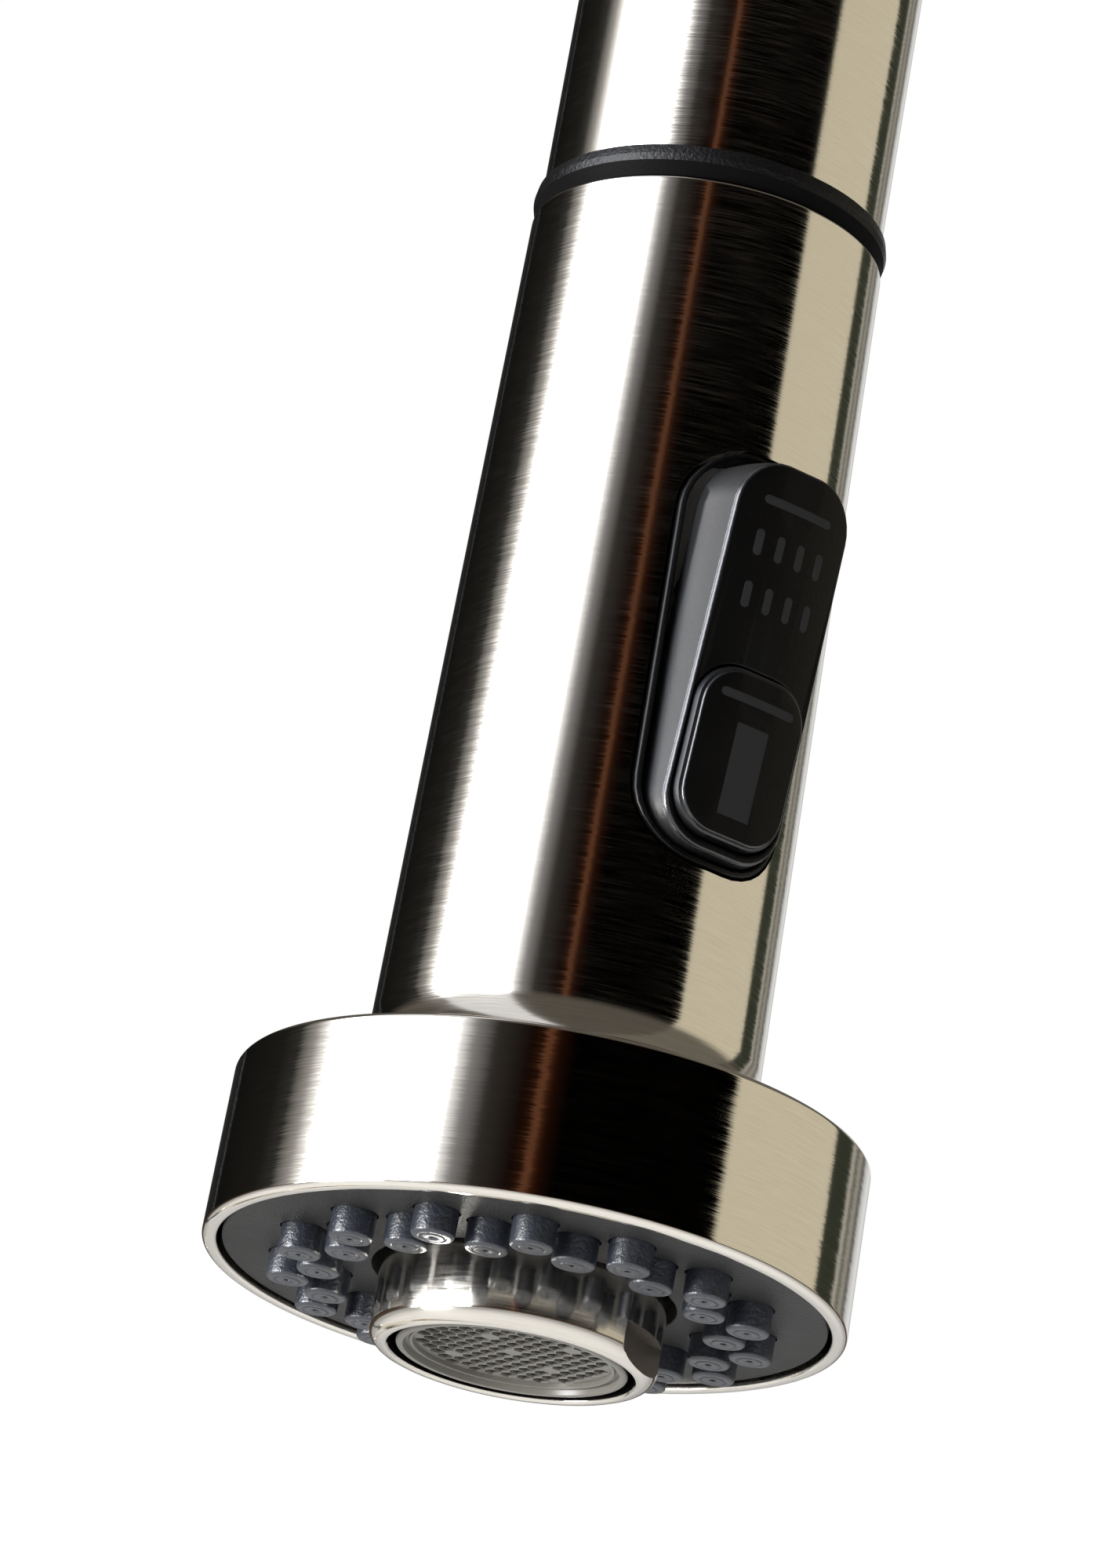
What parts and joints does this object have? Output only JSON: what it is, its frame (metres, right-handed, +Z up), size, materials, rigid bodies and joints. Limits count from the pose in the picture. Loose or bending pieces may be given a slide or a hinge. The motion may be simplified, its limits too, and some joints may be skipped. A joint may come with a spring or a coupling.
{
  "type": "pull down kitchen faucet",
  "caption": "Pull-down kitchen faucet: lever mixer body, swivelling gooseneck spout and a two-mode spray head with rocker and stream button on a sliding hose.",
  "frame": {"origin": "on the counter top, under the middle of the base", "axes": "+Z up, -Y towards the sink and the user, where the spout reaches; +X to the lever's side"},
  "size_m": [0.099, 0.265, 0.5256],
  "materials": {
    "brushed_nickel": "satin nickel plate with fine brush lines around each axis, and polished rims",
    "brass": "machined, unplated",
    "steel": "bare stainless steel",
    "magnet": "nickel-plated ring magnet",
    "black_plastic": "fine moulded grain",
    "grey_plastic": "fine moulded grain",
    "pale_plastic": "warm grey moulding",
    "white_plastic": "natural moulding",
    "rubber": "black rubber",
    "silicone": "blue-grey silicone",
    "hose_braid": "braided nylon over a rubber hose"
  },
  "bodies": {
    "base": {"base_gasket": "rubber", "base_flange": "brushed_nickel", "body_shell": "brushed_nickel", "valve_core": "brass", "mounting_shank": "brass", "rubber_washer": "rubber", "metal_washer": "steel", "mounting_nut": "brass", "clamp_screw_left": "steel", "clamp_screw_right": "steel", "hot_inlet": "brass", "cold_inlet": "brass", "spray_outlet": "brass", "cartridge": "white_plastic", "cartridge_nut": "brass", "bonnet_dome": "brushed_nickel", "swivel_bushing": "white_plastic", "swivel_trim_ring": "brushed_nickel", "spout_o_ring_lower": "rubber", "spout_o_ring_upper": "rubber"},
    "mixer_carrier": {"cartridge_carrier": "pale_plastic"},
    "lever": {"cartridge_stem": "steel", "lever_hub": "brushed_nickel", "lever_rod": "brushed_nickel", "set_screw": "steel", "index_plug": "grey_plastic"},
    "spout": {"spout_tube": "brushed_nickel", "swivel_retainer": "brass", "pullout_hose": "hose_braid", "spout_collar": "black_plastic", "dock_magnet": "magnet", "hose_guide": "white_plastic"},
    "hose": {"hose_end": "hose_braid", "hose_ferrule": "steel", "hose_tail": "brass"},
    "spray_head": {"head_shell": "brushed_nickel", "head_core": "white_plastic", "hose_nut": "brass", "head_dock_cone": "black_plastic", "head_magnet": "magnet", "check_valve_body": "pale_plastic", "check_valve_spring": "steel", "button_bezel": "black_plastic", "rocker_pin": "steel", "face_plate": "grey_plastic", "nozzle_mat": "silicone", "aerator_housing": "brushed_nickel", "aerator_insert": "pale_plastic", "aerator_seal": "rubber"},
    "rocker": {"spray_rocker": "black_plastic", "stream_button_spring": "steel"},
    "button": {"stream_button": "black_plastic"},
    "plunger": {"diverter_plunger": "pale_plastic"},
    "poppet": {"check_valve_poppet": "white_plastic"}
  },
  "joints": [
    {"name": "spout_swivel", "type": "hinge", "parent": "base", "child": "spout", "pos_m": [0, 0, 0.1], "axis": [0, 0, 1], "continuous": true},
    {"name": "lever_temperature", "type": "hinge", "parent": "base", "child": "mixer_carrier", "pos_m": [0.042, 0, 0.062], "axis": [1, 0, 0], "range_deg": [-45, 45]},
    {"name": "lever_flow", "type": "hinge", "parent": "mixer_carrier", "child": "lever", "pos_m": [0.042, 0, 0.062], "axis": [0, 1, 0], "range_deg": [0, 22]},
    {"name": "head_pull", "type": "slide", "parent": "spout", "child": "hose", "axis": [0, 0, -1], "range_m": [0, 0.08], "stiffness_N_per_m": 20, "springref_m": -0.6},
    {"name": "head_turn", "type": "hinge", "parent": "hose", "child": "spray_head", "pos_m": [0, -0.21, 0.26], "axis": [0, 0, 1], "continuous": true},
    {"name": "rocker_tilt", "type": "hinge", "parent": "spray_head", "child": "rocker", "pos_m": [0, -0.2222, 0.237], "axis": [-1, 0, 0], "range_deg": [0, 5]},
    {"name": "stream_button_press", "type": "slide", "parent": "rocker", "child": "button", "axis": [0, 0.9938, 0.1115], "range_m": [0, 0.0012], "stiffness_N_per_m": 400, "springref_m": -0.002, "deforming": ["stream_button_spring"]},
    {"name": "plunger_slide", "type": "slide", "parent": "spray_head", "child": "plunger", "axis": [0, 1, 0], "range_m": [0, 0.0008]},
    {"name": "check_valve_lift", "type": "slide", "parent": "spray_head", "child": "poppet", "axis": [0, 0, -1], "range_m": [0, 0.0015], "stiffness_N_per_m": 60, "springref_m": -0.003, "deforming": ["check_valve_spring"]}
  ],
  "couplings": [
    {"joint": "plunger_slide", "follows": "rocker_tilt", "m_per_rad": 0.009}
  ]
}
